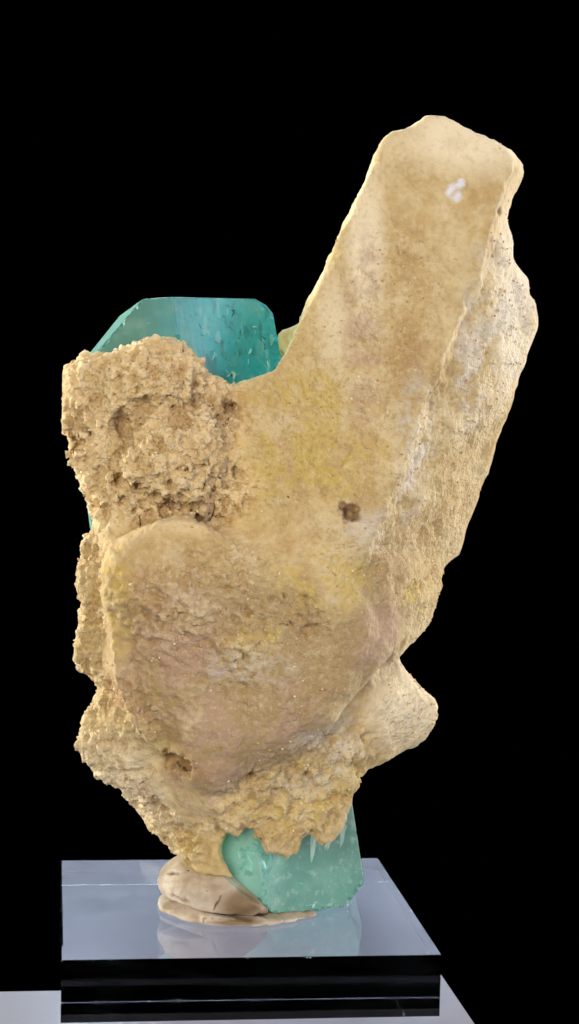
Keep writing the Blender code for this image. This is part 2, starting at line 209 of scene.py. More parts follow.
def normalsOf(item):
    normals = np.empty(len(item.data.vertices) * 3, np.float32)
    item.data.vertex_normals.foreach_get("vector", normals)
    return normals.reshape(-1, 3).astype(float)


def movePoints(item, points):
    item.data.vertices.foreach_set("co", points.ravel())
    item.data.update()


def paint(item, name, red, green, blue):
    # keeps three shares for each point in a colour attribute
    values = np.ones((len(item.data.vertices), 4), np.float32)
    values[:, 0], values[:, 1], values[:, 2] = red, green, blue
    attribute = item.data.attributes.new(name, "FLOAT_COLOR", "POINT")
    attribute.data.foreach_set("color", values.ravel())


def finishPiece(item, node, slot, *materials):
    # gives a piece its materials and its place in the frame
    item.data.materials.clear()
    for material in materials:
        item.data.materials.append(material)
    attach(item, "root")
    if node:
        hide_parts(node)


# Feldspar: an albite and microcline crust, weathered to clay. Dry, grainy and matt, cream where
# the grain is tight, yellow where iron has soaked in; its pits are painted brown as shade, its rises lighter as a
# painted highlight.
feldspar = {
    "voxel": 0.42, "smoothing": 6, "triangles": 194000, "snug": 0.42, "hardMiddle": 0.28,
    "inset": 0.3,    # how far it stays inside the CAD's box, which leaves room for the loose grains
    # where each kind of surface lies
    "pitted": [(-16, -12, 93, 16, 18, 14), (-11, -16, 83, 13.5, 12, 7.5), (-21, -12, 82, 6, 12, 6)],
    "ledges": [(-24.5, -9, 66, 4.5, 12, 12), (-24, -10, 50, 4.5, 12, 6), (-23, -12, 39, 5.5, 10, 5),
               (-17, -12, 31, 8, 9, 7), (-11, -11, 23, 6, 7, 5)],
    "granular": [(44, -1, 112, 7, 12, 14), (40.5, -4, 98, 7, 11, 16), (35.5, -5, 84, 8.5, 12, 16),
                 (31, -5, 71, 9, 12, 12), (20, -17, 72, 9, 6, 6.5), (29, -4, 46, 7, 8, 8), (14, -13, 31, 8, 8, 7),
                 (5, -15, 92, 7, 8, 8)],
    "sugary": [(20, -14, 96, 13, 8, 20), (4, -15, 88, 12, 9, 9), (24, -13, 114, 9, 8, 12), (12, -14, 36, 12, 9, 8),
               (4, -22, 58, 14, 9, 12)],
    "ripples": [(-9, -23, 58, 14, 8, 15)],
    "lobePits": [(1.5, -22, 61, 6.5, 7, 6.5), (9, -21, 62, 6, 7, 7), (-3, -22, 70, 9, 6, 5),
                 (-16, -18, 46, 5, 8, 7), (-11, -22, 64, 7, 7, 8)],
    "foot": [(6, -14, 31, 16, 9, 8), (17, -12, 35, 8, 8, 9)],
    # soft balls, how far they swell towards the front, and only what lies behind this y
    "swellings": [((-16.5, -16, 52, 5.5, 9, 14), 3.6, -21), ((-13, -15, 43, 5, 9, 6), 2.4, -20)],
    # soft balls and how far the crust's lower edge is drawn there, in x, y and z
    "scallops": [((8.0, -9, 22.5, 2.2, 9, 5), (0, 0, -0.9)), ((12.1, -9, 24, 1.4, 9, 5), (0, 0, 2.2)),
                 ((15.6, -5, 22.5, 0.9, 9, 5), (0, 0, -0.7)), ((2.2, -10, 23, 2.2, 6, 4), (0, 0, 1.3)),
                 ((-1.2, -12, 20.5, 2.4, 6, 3), (-1.5, 0, 0.8)), ((5.0, -10, 22.5, 0.9, 6, 3), (0, 0, -0.8))],
    "smooth": [(-8.6, -17.4, 33.2, 5.4, 6, 5.6), (-11, -20.5, 76.6, 6, 4, 2.2), (-17, -20, 74, 4, 4, 2.5)],
    # broad tones: painted shade, duller than the rest, and painted light, brighter than the rest
    "dull": [(0, -22, 55, 19, 10, 15), (-2, -23, 42, 8.5, 8, 9), (4, -20, 62, 12, 9, 8), (20, -16, 58, 9, 8, 9),
             (8, -17, 40, 9, 8, 7), (24, -14, 67, 7, 8, 8),
             (-19, -20, 58, 4.5, 6, 11)],
    "bright": [(36, -8, 141, 10, 9, 6), (44, -2, 118, 4, 12, 14), (46, -1, 108, 5, 10, 8), (30, -6, 46, 8, 9, 8),
               (14, -8, 108, 3, 6, 10), (19, -10, 122, 3, 6, 12), (31, -8, 52, 6, 8, 4), (-24, -10, 90, 4, 10, 8),
               (-19, -12, 33, 8, 10, 9), (37, -5, 48, 9, 8, 8)],
    # a painted highlight: a small bluish-white window reflection near the top
    "bluishSpot": [(33.3, -9.6, 131.7, 1.5, 3, 1.6), (34.3, -9.6, 133.2, 0.7, 3, 0.8)],
    # colour stains
    "yellow": [(3.4, -14, 92, 7, 8, 7), (-0.5, -16, 85, 6.5, 8, 6), (9, -15, 96, 7, 8, 8), (13, -16, 88, 9, 8, 6),
               (14, -21, 69, 8, 6, 5), (12, -13, 33, 9, 7, 7), (18, -9, 32, 4, 6, 6), (27, -6, 66, 4, 6, 4),
               (-20, -20, 64, 3, 6, 9), (-3, -12, 21, 6, 6, 5), (2, -22, 58, 4, 5, 4)],
    "pink": [(-11, -23, 57, 11, 8, 12), (-2, -23, 42, 7.5, 7, 9), (-8.2, -17.4, 33.4, 5, 5, 5.4), (19, -13, 104, 3, 6, 20),
             (-15, -16, 29, 6, 6, 5), (7, -17, 47, 9, 7, 6), (22, -15, 60, 5, 6, 6)],
    "pale": [(44, -1, 112, 6, 12, 13), (37.5, -8, 106, 3.4, 6, 14), (20, -17, 77, 4, 6, 4), (28, -14, 90, 3, 5, 12),
             (2, -23, 55, 6, 5, 3), (13, -14, 42, 5, 5, 3), (10, -13, 34, 5, 5, 2.5), (17, -11, 41, 2.5, 5, 6)],
    "brown": [(-18.4, -16, 49.5, 4.8, 7, 4), (-2.2, -14, 96, 3.6, 5, 2.0), (-6, -17, 79, 4.5, 4, 1.8),
              (-9.1, -19, 38.4, 3.4, 4, 2.4), (29, -12.7, 110.5, 1.0, 3, 2.4), (26, -12.7, 105, 3, 3, 4),
              (-20, -13, 38, 4, 5, 2), (-5.5, -20, 35, 1.4, 4, 3.2), (18.5, -10, 30, 2.4, 5, 3),
              (6.4, 4, 108.6, 2.2, 6, 2.4)],
}

# pits that stand out: place, radius, depth, how dark the bottom is painted as shade
namedPits = [
    ((17.4, -18.2, 79.5), 1.5, 2.1, 1.0), ((16.2, -18.2, 80.4), 0.9, 1.1, 0.8),
    ((-2.2, -14.2, 95.8), 1.2, 1.8, 0.55), ((41.2, -6.6, 128.9), 0.7, 0.9, 0.9),
    ((-10.6, -19.0, 38.6), 2.0, 2.0, 0.4), ((-8.2, -19.6, 38.2), 2.0, 2.0, 0.45), ((5.2, 3.0, 104.2), 1.3, 1.6, 0.9),
    ((-5.8, -17.0, 78.9), 1.5, 2.0, 0.25),
    ((-24.5, -14.4, 91.5), 1.0, 1.3, 0.7), ((-20.0, -17.3, 93.0), 1.6, 1.2, 0.5),
    ((-14.6, -18.0, 88.5), 1.4, 1.3, 0.5), ((-8.0, -19.3, 97.0), 1.2, 1.2, 0.5),
    ((-17.0, -18.0, 83.6), 1.4, 1.4, 0.6), ((-11.5, -18.2, 80.4), 1.2, 1.2, 0.6),
    ((1.6, -22.6, 63.4), 0.8, 0.8, 0.5), ((10.4, -20.9, 60.2), 0.8, 0.7, 0.4), ((5.0, -22.0, 65.6), 0.7, 0.7, 0.4),
]

# lines on the surface: places along it, width, and how far it stands up
surfaceLines = {
    "crystalRidge": ([(42.1, -7.6, 135.5), (40.8, -8.2, 130.7), (38.9, -9.9, 126), (37.8, -10.4, 120.9),
                      (37, -9.5, 114.3), (34.1, -11.4, 110.6), (30.4, -14.1, 102.6), (27.9, -14.8, 94.9),
                      (25, -16.5, 85.5)], 1.5, 0.45),
    "lobeCrest": ([(-21, -20, 65), (-19.6, -20.6, 69.5), (-17.4, -21, 73.6), (-13, -20.8, 76.4),
                   (-8.2, -20.2, 77.4), (-4, -19.6, 76.6)], 2.2, 0.55),
    "crestFoot": ([(-22, -17, 70), (-19, -18, 75.4), (-14, -18.2, 78.6), (-8.2, -17.8, 79.6), (-3.4, -17.6, 78.2)],
                  1.5, -0.9),
    "lowerCrease": ([(27, -9.5, 57), (26, -9.7, 55.5), (21.7, -11, 50.2), (16.8, -13, 45.6), (10, -16, 40.4)],
                    1.3, -0.6),
    "paleVein": ([(25, -11, 54.5), (20.6, -11.4, 48.4), (15.6, -13.4, 43.4), (10, -15.6, 38.6), (3, -16.4, 34)],
                 1.0, 0.4),
    "knobScratchA": ([(-3.4, -23, 44.4), (-2.2, -23.2, 42.6), (-1.6, -23.2, 40.8)], 0.45, 0.4),
    "knobScratchB": ([(0.2, -22.8, 43.6), (1.0, -22.8, 41.6), (0.8, -22.6, 40.6)], 0.4, 0.35),
    "flatFaceStep": ([(-12.8, -17, 36.6), (-10.6, -16.8, 33), (-8.6, -16, 29.6)], 0.8, -0.5),
    "shoulderStep": ([(33.6, -3, 70), (30, -8, 67.4), (27.4, -12, 66.6)], 1.1, -0.6),
}

# layers of relief: noise, hard (with sharp creases) or soft, grain and height in mm, where, and its finer turns;
# a hard layer of negative height has sharp crests and round hollows
reliefLayers = [
    ("BLENDER_ORIGINAL", "SOFT", 7.0, 1.3, "everywhere", 2),
    ("BLENDER_ORIGINAL", "SOFT", 2.6, 0.55, "everywhere", 3),
    ("BLENDER_ORIGINAL", "SOFT", 1.1, 0.3, "everywhere", 2),
    ("VORONOI_F1", "SOFT", 0.8, 0.18, "everywhere", 1),
    ("BLENDER_ORIGINAL", "SOFT", 4.2, 2.6, "pitted", 3),
    ("BLENDER_ORIGINAL", "HARD", 2.3, -2.4, "pitted", 2),
    ("VORONOI_F2_F1", "SOFT", 1.7, 0.7, "pitted", 1),
    ("BLENDER_ORIGINAL", "SOFT", 1.3, 1.2, "pitted", 2),
    ("VORONOI_F1", "SOFT", 1.0, -0.9, "pitted", 1),
    ("BLENDER_ORIGINAL", "SOFT", 3.0, 2.2, "ledges", 3),
    ("BLENDER_ORIGINAL", "HARD", 1.9, -1.8, "ledges", 2),
    ("VORONOI_F2_F1", "SOFT", 1.5, 0.5, "ledges", 1),
    ("VORONOI_F1", "SOFT", 1.05, 0.25, "granular", 2),
    ("BLENDER_ORIGINAL", "SOFT", 2.4, 0.5, "granular", 2),
    ("VORONOI_F1", "SOFT", 0.85, 0.5, "sugary", 1),
    ("BLENDER_ORIGINAL", "SOFT", 1.5, 0.6, "sugary", 2),
    ("BLENDER_ORIGINAL", "HARD", 1.5, -1.1, "lobePits", 1),
    ("VORONOI_F1", "SOFT", 0.9, -0.8, "lobePits", 1),
    ("BLENDER_ORIGINAL", "SOFT", 3.4, 1.8, "foot", 3),
    ("BLENDER_ORIGINAL", "HARD", 2.6, -1.9, "foot", 3),
    ("VORONOI_F1", "SOFT", 1.1, 0.3, "foot", 1),
]


def fallOff(points, pits):
    # how deep each point lies in the named pits, in mm, and how much painted shade darkens it there
    depth, dark = np.zeros(len(points)), np.zeros(len(points))
    for place, radius, deep, darkness in pits:
        away = np.linalg.norm((points - place) * (1, 0.6, 1), axis=1) / radius
        for index in np.nonzero(away < 2)[0]:
            away[index] += noise.noise(Vector(points[index]) / 0.8) * 0.55
        share = np.clip(1 - away ** 2, 0, 1)
        depth = np.maximum(depth, share * deep)
        dark = np.maximum(dark, np.clip((1.35 - away) * 1.4, 0, 1) * darkness)
    return depth, dark


def turbulence(points, sizes):
    # uneven noise around 0 for each point, a sum of a few grain sizes in mm
    return np.array([sum(noise.noise(Vector(point) / size) for size in sizes) for point in points])


def makeSkin():
    skin = copyNode("feldspar_matrix", "feldspar_skin")
    applyModifier(skin, "REMESH", mode="VOXEL", voxel_size=feldspar["voxel"] * mm)
    applyModifier(skin, "SMOOTH", factor=0.5, iterations=feldspar["smoothing"])

    # the crust grew tight against the aquamarine, so it closes the CAD's small gap
    points, normals = pointsOf(skin), normalsOf(skin)
    gap = np.array([berylFaces.find_nearest(Vector(p), 1.3 * mm)[3] or 9 for p in points]) / mm
    points += normals * (np.clip(1.3 - gap, 0, 0.6) / 0.6 * feldspar["snug"] * mm)[:, None]
    # swellings that carry the lobe over into the lower left, and over the crust of the foot
    places = points / mm @ turnBack.T
    swell = np.zeros(len(points))
    for ball, height, behind in feldspar["swellings"]:
        swell = np.maximum(swell, near(places, [ball], 1.2) * height * np.clip((places[:, 1] - behind) / 3, 0, 1))
    points += (swell * mm)[:, None] * (turnBack.T @ np.array((0, -1, 0)))
    # the lower edge hangs over the aquamarine in small tongues
    ragged = turbulence(places, (1.6, 0.9)) * near(places, [(8, -8, 22, 12, 9, 4)], 1.0) * 0.6
    points[:, 2] += ragged * mm
    for ball, (along, inward, up) in feldspar["scallops"]:
        points += near(places, [ball], 1.3)[:, None] * (turnBack.T @ np.array((along, inward, up))) * mm
    movePoints(skin, points)
    calm = BVHTree.FromObject(skin, bpy.context.evaluated_depsgraph_get())
    print("skin closed up:", len(skin.data.polygons), "faces")

    places = specimenPoints(skin)
    zones = {name: near(places, feldspar[name]) for name in
             ("pitted", "ledges", "granular", "sugary", "ripples", "lobePits", "foot", "smooth")}
    for name in zones:
        zones[name] *= 1 if name == "smooth" else 1 - 0.9 * zones["smooth"]
    zones["everywhere"] = 1 - 0.75 * zones["smooth"]
    for name, weights in zones.items():
        groupFrom(skin, name, weights)
    for number, (basis, edge, grain, height, zone, depth) in enumerate(reliefLayers):
        pattern = bpy.data.textures.new(f"relief{number}", "CLOUDS")
        pattern.noise_basis = basis
        pattern.noise_type = edge + "_NOISE"
        pattern.noise_scale = grain * mm
        pattern.noise_depth = depth
        applyModifier(skin, "DISPLACE", texture=pattern, texture_coords="LOCAL", vertex_group=zone,
                      strength=height * mm, mid_level=0.5 if edge == "SOFT" else feldspar["hardMiddle"])

    # ripples that run across the lobe, and striations up the long crystal
    for name, zone, size, lean, height in (("ripples", "ripples", (1.7, 1.7, 0.7), 14, 1.3),
                                           ("striations", "crystal", (1.2, 1.2, 12), 22, 0.35)):
        if zone == "crystal":
            groupFrom(skin, zone, near(places, [(24, -14, 112, 16, 12, 34)]))
        guide = bpy.data.objects.new(name, None)
        scene.collection.objects.link(guide)
        guide.matrix_world = toWorld @ Matrix.Rotation(math.radians(lean), 4, "Y") @ Matrix.Diagonal(
            (size[0] * mm, size[1] * mm, size[2] * mm, 1))
        pattern = bpy.data.textures.new(name, "CLOUDS")
        pattern.noise_scale = 1
        pattern.noise_depth = 2
        bpy.context.view_layer.update()
        applyModifier(skin, "DISPLACE", texture=pattern, texture_coords="OBJECT", texture_coords_object=guide,
                      vertex_group=zone, strength=height * mm, mid_level=0.5)
        bpy.data.objects.remove(guide)

    points, normals = pointsOf(skin), normalsOf(skin)
    depth, dark = fallOff(places, namedPits)
    lift = -depth
    for line, width, height in surfaceLines.values():
        lift += nearLine(places, line, width, 0.8) * height
    points += normals * (lift * mm)[:, None]
    low, high = (np.array(corner) for corner in cadBox)
    movePoints(skin, np.clip(points, low + feldspar["inset"] * mm, high - feldspar["inset"] * mm))
    print("skin relief done")

    # fewer triangles at the back, which is plainer
    front = np.clip((6 - places[:, 1]) / 16, 0, 1) * 0.8 + 0.2
    groupFrom(skin, "keep", front)
    ratio = feldspar["triangles"] / (2 * len(skin.data.polygons))
    if ratio < 1:
        applyModifier(skin, "DECIMATE", ratio=ratio, vertex_group="keep", invert_vertex_group=True,
                      vertex_group_factor=0.6)
    skin.vertex_groups.clear()

    # how deep or high each point lies against the calm surface, for painted shade in the hollows and a painted
    # highlight on the rises, and the stains, for the colours
    points, places = pointsOf(skin), specimenPoints(skin)
    height = np.zeros(len(points))
    for index, point in enumerate(points):
        found, facing, _, away = calm.find_nearest(Vector(point), 4 * mm)
        if found is not None:
            height[index] = away / mm if (Vector(point) - found).dot(facing) > 0 else -away / mm
    depth, dark = fallOff(places, namedPits)
    uneven = turbulence(places, (6.0, 2.4, 1.0))

    def stain(name):
        share = near(places, feldspar[name], 1.7)
        return np.clip(share * (0.8 + uneven * 1.1), 0, 1)

    # the thin edge of the crust is yellow, because light comes through it
    away = np.array([berylFaces.find_nearest(Vector(point), 2 * mm)[3] or 2 * mm for point in points]) / mm
    thin = np.clip(1.5 - away, 0, 1) * np.clip(-(places[:, 1] + 1) / 3, 0, 1)
    paint(skin, "stains", np.maximum(stain("yellow"), thin), stain("pink"), stain("pale"))
    # painted shade by depth in red, painted highlight by height in green, real brown stains in blue
    paint(skin, "relief", np.clip(-height / 1.1, 0, 1), np.clip(height / 0.8, 0, 1), stain("brown"))
    # painted shade, painted light and a painted highlight, kept as colour shares
    paint(skin, "tones", near(places, feldspar["dull"], 0.9), near(places, feldspar["bright"], 1.1),
          near(places, feldspar["bluishSpot"], 0.8) * np.clip(0.9 + uneven, 0, 1))
    pitted = near(places, feldspar["pitted"], 0.6)
    rough = np.maximum.reduce([
        pitted, near(places, feldspar["granular"], 0.8) * 0.6, near(places, feldspar["ledges"]),
        near(places, feldspar["sugary"], 0.8) * 0.45, near(places, feldspar["foot"]) * 0.6,
        near(places, feldspar["lobePits"], 0.8) * 0.5])
    rough *= 1 - near(places, feldspar["smooth"])
    # pitted and rough zones, and painted shade at the bottom of the named pits
    paint(skin, "kinds", pitted, rough, dark)

    # where loose sugary grains sit: on the rough parts, in loose drifts, and few at the back
    amount = (0.04 + rough) * np.clip(0.6 + uneven, 0, 1.4) * np.clip((10 - places[:, 1]) / 12, 0.12, 1)
    density = skin.data.attributes.new("grainAmount", "FLOAT", "POINT")
    density.data.foreach_set("value", amount.astype(np.float32))
    selectOnly(skin)
    bpy.ops.object.shade_smooth()
    makeGrains(skin)
    skin.data.attributes.remove(skin.data.attributes["grainAmount"])
    finishPiece(skin, "feldspar_matrix", "feldspar", makeFeldsparMaterial())
    print("feldspar_skin:", len(skin.data.polygons), "faces")


# Loose grains: sugar-sized broken cleavage crumbs that stick to the crust
grains = {"perSquareMm": 0.55, "size": (0.22, 0.6)}


def makeGrains(skin):
    tree = bpy.data.node_groups.new("sugarGrains", "GeometryNodeTree")
    tree.interface.new_socket("Geometry", in_out="INPUT", socket_type="NodeSocketGeometry")
    tree.interface.new_socket("Geometry", in_out="OUTPUT", socket_type="NodeSocketGeometry")
    start, end = addNode(tree, "NodeGroupInput"), addNode(tree, "NodeGroupOutput")
    amount = addNode(tree, "GeometryNodeInputNamedAttribute", {"Name": "grainAmount"}, data_type="FLOAT")
    density = addNode(tree, "ShaderNodeMath", {0: amount.outputs["Attribute"],
                                               1: grains["perSquareMm"] / mm ** 2}, operation="MULTIPLY")
    places = addNode(tree, "GeometryNodeDistributePointsOnFaces", {
        "Mesh": start.outputs[0], "Density": density.outputs[0], "Seed": 5})
    low, high = (size * mm / 2 for size in grains["size"])
    size = addNode(tree, "FunctionNodeRandomValue", {0: (low, low, low), 1: (high, high, high), "Seed": 3},
                   data_type="FLOAT_VECTOR")
    turn = addNode(tree, "FunctionNodeRandomValue", {0: (0, 0, 0), 1: (6.283, 6.283, 6.283), "Seed": 8},
                   data_type="FLOAT_VECTOR")
    tone = addNode(tree, "FunctionNodeRandomValue", {2: 0.0, 3: 1.0, "Seed": 13}, data_type="FLOAT")
    marked = addNode(tree, "GeometryNodeStoreNamedAttribute", {
        "Geometry": places.outputs["Points"], "Name": "tone", "Value": tone.outputs[1]}, data_type="FLOAT",
        domain="POINT")
    crumb = addNode(tree, "GeometryNodeMeshIcoSphere", {"Radius": 1.0, "Subdivisions": 1})
    crumbs = addNode(tree, "GeometryNodeInstanceOnPoints", {
        "Points": marked.outputs[0], "Instance": crumb.outputs[0], "Rotation": turn.outputs[0],
        "Scale": size.outputs[0]})
    whole = addNode(tree, "GeometryNodeRealizeInstances", {"Geometry": crumbs.outputs[0]})
    tree.links.new(whole.outputs[0], end.inputs[0])
    heap = bpy.data.objects.new("sugar_grains", skin.data.copy())
    scene.collection.objects.link(heap)
    heap.data.materials.clear()
    applyModifier(heap, "NODES", node_group=tree)
    finishPiece(heap, None, "feldspar", makeGrainMaterial())
    print("sugar_grains:", len(heap.data.polygons), "faces")


def makeGrainMaterial():
    # cleavage crumbs of the same feldspar: paler than the crust, some yellow with iron, and a little glassy
    material, tree, output = newMaterial("feldspar_crumbs")
    where = addNode(tree, "ShaderNodeTexCoord").outputs["Object"]
    tone = addNode(tree, "ShaderNodeAttribute", attribute_name="tone").outputs["Fac"]
    shade = addNode(tree, "ShaderNodeValToRGB", {"Fac": tone},
                    stops=[(0.0, "#B7955F"), (0.4, "#CBAD7A"), (0.8, "#DAC191"), (1.0, "#F1E4C4")]).outputs["Color"]
    dust = addNode(tree, "ShaderNodeTexNoise", {"Vector": where, "Scale": 1 / (5 * mm), "Detail": 4.0})
    stain = addNode(tree, "ShaderNodeMapRange", {0: dust.outputs["Fac"], 1: 0.5, 2: 0.7, 3: 0.0, 4: 0.4})
    shade = addNode(tree, "ShaderNodeMix", {0: stain.outputs[0], 6: shade, 7: hexColour("#B08748")},
                    data_type="RGBA").outputs[2]
    shader = addNode(tree, "ShaderNodeBsdfPrincipled", {
        "Base Color": shade, "Roughness": 0.6, "IOR": 1.53, "Specular IOR Level": 0.35})
    tree.links.new(shader.outputs[0], output.inputs["Surface"])
    return material


def makeFeldsparMaterial():
    # weathered feldspar: dry and matt, with painted shade in its pits and hollows, a painted highlight on its rises,
    # and small bright cleavage grains
    material, tree, output = newMaterial("weathered_feldspar")
    where = addNode(tree, "ShaderNodeTexCoord").outputs["Object"]
    stains = addNode(tree, "ShaderNodeSeparateColor", {0: addNode(
        tree, "ShaderNodeAttribute", attribute_name="stains").outputs["Color"]})
    relief = addNode(tree, "ShaderNodeSeparateColor", {0: addNode(
        tree, "ShaderNodeAttribute", attribute_name="relief").outputs["Color"]})
    kinds = addNode(tree, "ShaderNodeSeparateColor", {0: addNode(
        tree, "ShaderNodeAttribute", attribute_name="kinds").outputs["Color"]})
    tones = addNode(tree, "ShaderNodeSeparateColor", {0: addNode(
        tree, "ShaderNodeAttribute", attribute_name="tones").outputs["Color"]})
    broad = addNode(tree, "ShaderNodeTexNoise", {"Vector": where, "Scale": 1 / (14 * mm), "Detail": 4.0})
    patches = addNode(tree, "ShaderNodeTexNoise", {"Vector": where, "Scale": 1 / (3.2 * mm), "Detail": 5.0})
    grain = addNode(tree, "ShaderNodeTexNoise", {"Vector": where, "Scale": 1 / (0.8 * mm), "Detail": 4.0})
    sugar = addNode(tree, "ShaderNodeTexVoronoi", {"Vector": where, "Scale": 1 / (0.5 * mm)})
    specks = addNode(tree, "ShaderNodeTexVoronoi", {"Vector": where, "Scale": 1 / (5.5 * mm)})
    shade = addNode(tree, "ShaderNodeValToRGB", {"Fac": broad.outputs["Fac"]},
                    stops=[(0.32, "#BA9D68"), (0.5, "#C9AF7B"), (0.68, "#D6C092")]).outputs["Color"]

    # the grain shows most where the surface is rough
    contrast = addNode(tree, "ShaderNodeMath", {0: kinds.outputs["Green"], 1: 0.6, 2: 0.4},
                       operation="MULTIPLY_ADD").outputs[0]
    # a layer: what it follows, the values where it starts and is full, its most, how strong it is there, its colour
    layers = [
        (patches.outputs["Fac"], 0.48, 0.68, 0.5, 1, "#B08F5C"),
        (patches.outputs["Fac"], 0.48, 0.34, 0.4, 1, "#DCCBA4"),
        # painted shade and painted light over broad patches
        (tones.outputs["Red"], 0.0, 1.0, 0.72, 1, "#A08761"),
        (tones.outputs["Green"], 0.0, 1.0, 0.82, 1, "#F5E6C4"),
        (stains.outputs["Green"], 0.1, 1.0, 0.5, 1, "#B9998A"),
        (stains.outputs["Red"], 0.1, 1.0, 0.68, 1, "#CBB05C"),
        (stains.outputs["Blue"], 0.1, 1.0, 0.55, 1, "#D2CCC2"),
        (kinds.outputs["Red"], 0.1, 0.9, 0.8, 1, "#EACD9A"),
        (relief.outputs["Blue"], 0.1, 1.0, 0.5, 1, "#A87C42"),
        # painted shade: the deeper a hollow lies, the darker brown it is painted
        (relief.outputs["Red"], 0.15, 1.0, 0.52, 1, "#9C7444"),
        # painted highlight: raised places painted lighter
        (relief.outputs["Green"], 0.2, 1.0, 0.6, 1, "#E6D5AE"),
        (grain.outputs["Fac"], 0.54, 0.72, 0.5, contrast, "#9A7B4E"),
        (grain.outputs["Fac"], 0.46, 0.3, 0.45, contrast, "#E6D6AE"),
        (sugar.outputs["Distance"], 0.3, 0.08, 0.35, contrast, "#EEE0BC"),
        # painted shade at the bottom of the named pits
        (kinds.outputs["Blue"], 0.15, 0.9, 0.95, 1, "#52200C"),
        # a painted highlight: a small bluish-white window reflection
        (tones.outputs["Blue"], 0.2, 0.9, 0.9, 1, "#E6E6F0"),
    ]
    for pattern, start, full, most, strength, code in layers:
        amount = addNode(tree, "ShaderNodeMapRange", {0: pattern, 1: start, 2: full, 3: 0.0, 4: most})
        amount = addNode(tree, "ShaderNodeMath", {0: amount.outputs[0], 1: strength}, operation="MULTIPLY")
        shade = addNode(tree, "ShaderNodeMix", {0: amount.outputs[0], 6: shade, 7: hexColour(code)},
                        data_type="RGBA").outputs[2]
    # a few black grains of tourmaline
    chosen = addNode(tree, "ShaderNodeSeparateColor", {0: specks.outputs["Color"]})
    small = addNode(tree, "ShaderNodeMapRange", {0: specks.outputs["Distance"], 1: 0.042, 2: 0.028})
    few = addNode(tree, "ShaderNodeMapRange", {0: chosen.outputs["Red"], 1: 0.55, 2: 0.6})
    rare = addNode(tree, "ShaderNodeMath", {0: small.outputs[0], 1: few.outputs[0]}, operation="MULTIPLY")
    shade = addNode(tree, "ShaderNodeMix", {0: rare.outputs[0], 6: shade, 7: hexColour("#1C120C")},
                    data_type="RGBA").outputs[2]
    bumpCoarse = addNode(tree, "ShaderNodeBump", {"Height": grain.outputs["Fac"], "Strength": contrast,
                                                  "Distance": 0.7 * mm})
    bumpFine = addNode(tree, "ShaderNodeBump", {"Height": sugar.outputs["Distance"], "Strength": contrast,
                                                "Distance": 0.15 * mm, "Normal": bumpCoarse.outputs[0]})
    shader = addNode(tree, "ShaderNodeBsdfPrincipled", {
        "Base Color": shade, "Roughness": 0.8, "IOR": 1.53, "Specular IOR Level": 0.3,
        "Sheen Weight": 0.3, "Sheen Roughness": 0.4, "Sheen Tint": hexColour("#FFF1D8"), "Normal": bumpFine.outputs[0]})
    tree.links.new(shader.outputs[0], output.inputs["Surface"])
    return material


# Aquamarine: beryl, a glassy blue-green six-sided prism. Its left side and its foot are etched and
# milky, its right side is clear enough to show healed cracks inside.
aquamarine = {
    "bevel": 0.22, "ior": 1.577, "depthColour": "#4FB5C2", "depthDensity": 26.0,
    "clear": "#28BED2", "etched": "#4E8F84", "milky": "#689B88",
    # chips along the edges, in soft balls: place and reach, size, one every so many mm
    "chipped": [((-22, 2, 107, 9, 14, 11), 0.62, 1.0), ((4.4, 4, 107, 3.4, 9, 9), 0.7, 1.1),
                ((-8, -2, 113.6, 11, 6, 2.5), 0.3, 1.6), ((12, -4, 12, 14, 12, 5.5), 0.8, 1.5),
                ((0, 10, 60, 60, 60, 90), 0.5, 6.0)],
    # flakes inside: middle x and z, reach in x and z, how many, size, from which painted tone to which, low for shade
    # and high for a white glint
    "flakes": [(-0.5, 104.5, 5.5, 6.5, 60, 0.9, 0.3, 0.75), (-2.6, 100.4, 2.4, 1.6, 34, 0.9, 0.75, 1.0),
               (-3.0, 110, 9.0, 3.0, 14, 0.6, 0.3, 0.8), (2.4, 106.6, 0.7, 1.2, 7, 1.0, 0.0, 0.1),
               (-2.4, 111.6, 0.5, 1.0, 4, 0.8, 0.0, 0.1), (-7.5, 108.6, 0.8, 1.2, 5, 0.8, 0.0, 0.15),
               (-2, 105, 4.0, 5.0, 16, 0.7, 0.0, 0.2), (-22.2, 107.6, 0.3, 0.3, 3, 0.5, 0.0, 0.0),
               (-14, 108.5, 7.0, 3.5, 8, 0.5, 0.5, 0.8), (11, 16.5, 9.0, 5.5, 26, 0.6, 0.45, 0.7),
               (3.4, 20.4, 3.0, 2.2, 40, 1.2, 0.55, 0.8), (12, 11.4, 3.0, 0.8, 20, 0.7, 0.6, 0.85),
               (20.2, 16.1, 0.5, 0.6, 3, 0.5, 0.9, 1.0), (18.8, 10.8, 0.8, 0.5, 4, 0.5, 0.9, 1.0)],
    "flakeDepth": (-0.12, 0.12),
}


